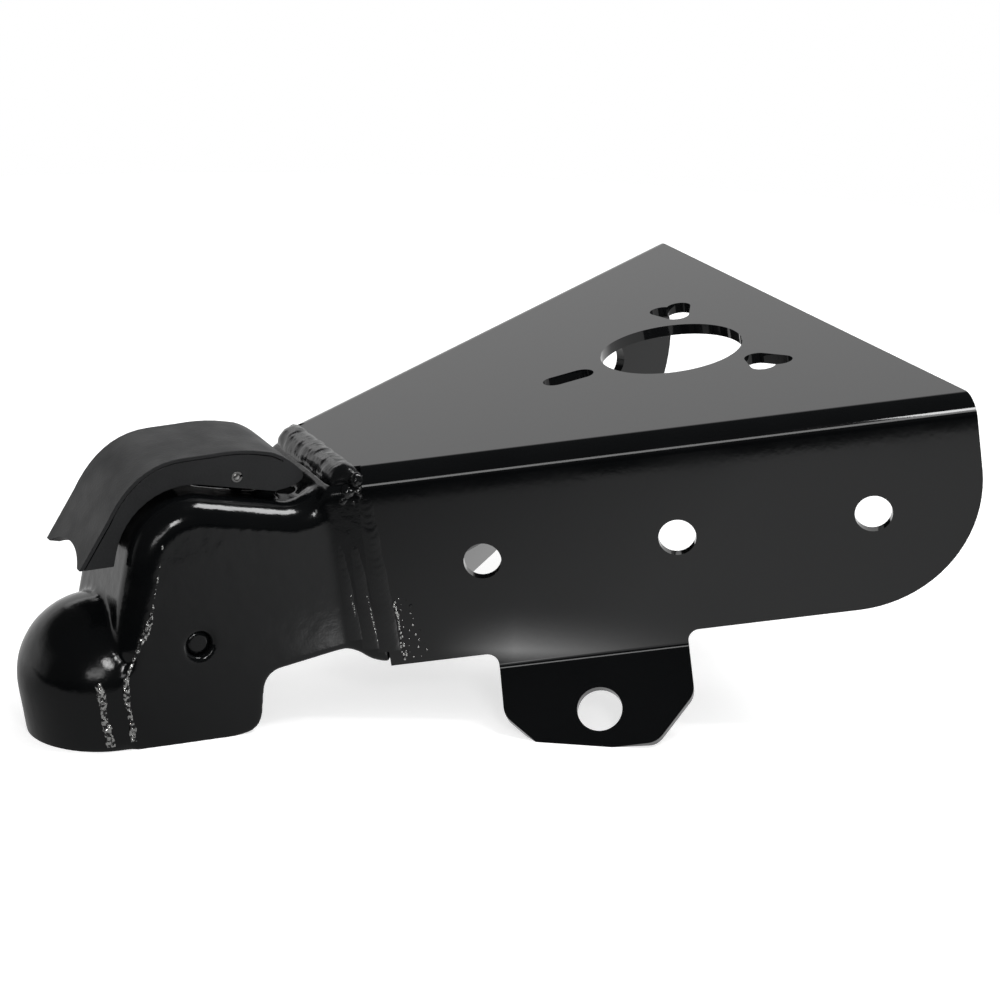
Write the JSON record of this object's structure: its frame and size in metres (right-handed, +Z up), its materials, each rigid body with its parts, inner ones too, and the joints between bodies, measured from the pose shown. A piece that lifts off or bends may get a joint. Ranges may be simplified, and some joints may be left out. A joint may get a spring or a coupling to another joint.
{
  "type": "trailer coupling head",
  "caption": "A-frame trailer coupler with a cast ball head, lever lock, clamping jaw, folded steel drawbar plate, jack hole and safety chain tabs.",
  "frame": {"origin": "centre of the jack hole, on the plate's top face", "axes": "+X along the centre line towards the trailer, +Y to the coupler's left seen from the trailer, +Z up, square to the plate's top face"},
  "size_m": [0.3839, 0.3006, 0.1505],
  "materials": {
    "painted_plate": "gloss black paint on folded steel sheet",
    "painted_casting": "gloss black paint over a slightly rough casting",
    "painted_weld": "gloss black paint over weld beads",
    "bare_steel": "plain forged steel",
    "pin_steel": "plain turned steel",
    "spring_steel": "drawn spring wire",
    "moulded_handle": "satin black moulding"
  },
  "bodies": {
    "coupler": {"frame_plate": "painted_plate", "head_casting": "painted_casting", "weld_top": "painted_weld", "weld_near": "painted_weld", "weld_far": "painted_weld", "jaw_pin": "pin_steel", "arm_pin": "pin_steel"},
    "handle": {"handle": "moulded_handle", "handle_pin": "pin_steel", "lock_arm": "bare_steel", "lock_spring": "spring_steel"},
    "jaw": {"ball_jaw": "bare_steel", "jaw_spring": "spring_steel"}
  },
  "joints": [
    {"name": "handle_pivot", "type": "hinge", "parent": "coupler", "child": "handle", "pos_m": [-0.1965, 0, -0.0015], "axis": [0, 1, 0], "range_deg": [0, 50], "stiffness_Nm_per_rad": 1, "springref_deg": -28.65},
    {"name": "jaw_pivot", "type": "hinge", "parent": "coupler", "child": "jaw", "pos_m": [-0.246, 0, -0.0573], "axis": [0, 1, 0], "range_deg": [-20, 0]}
  ],
  "couplings": [
    {"joint": "jaw_pivot", "follows": "handle_pivot", "ratio": -0.4}
  ]
}
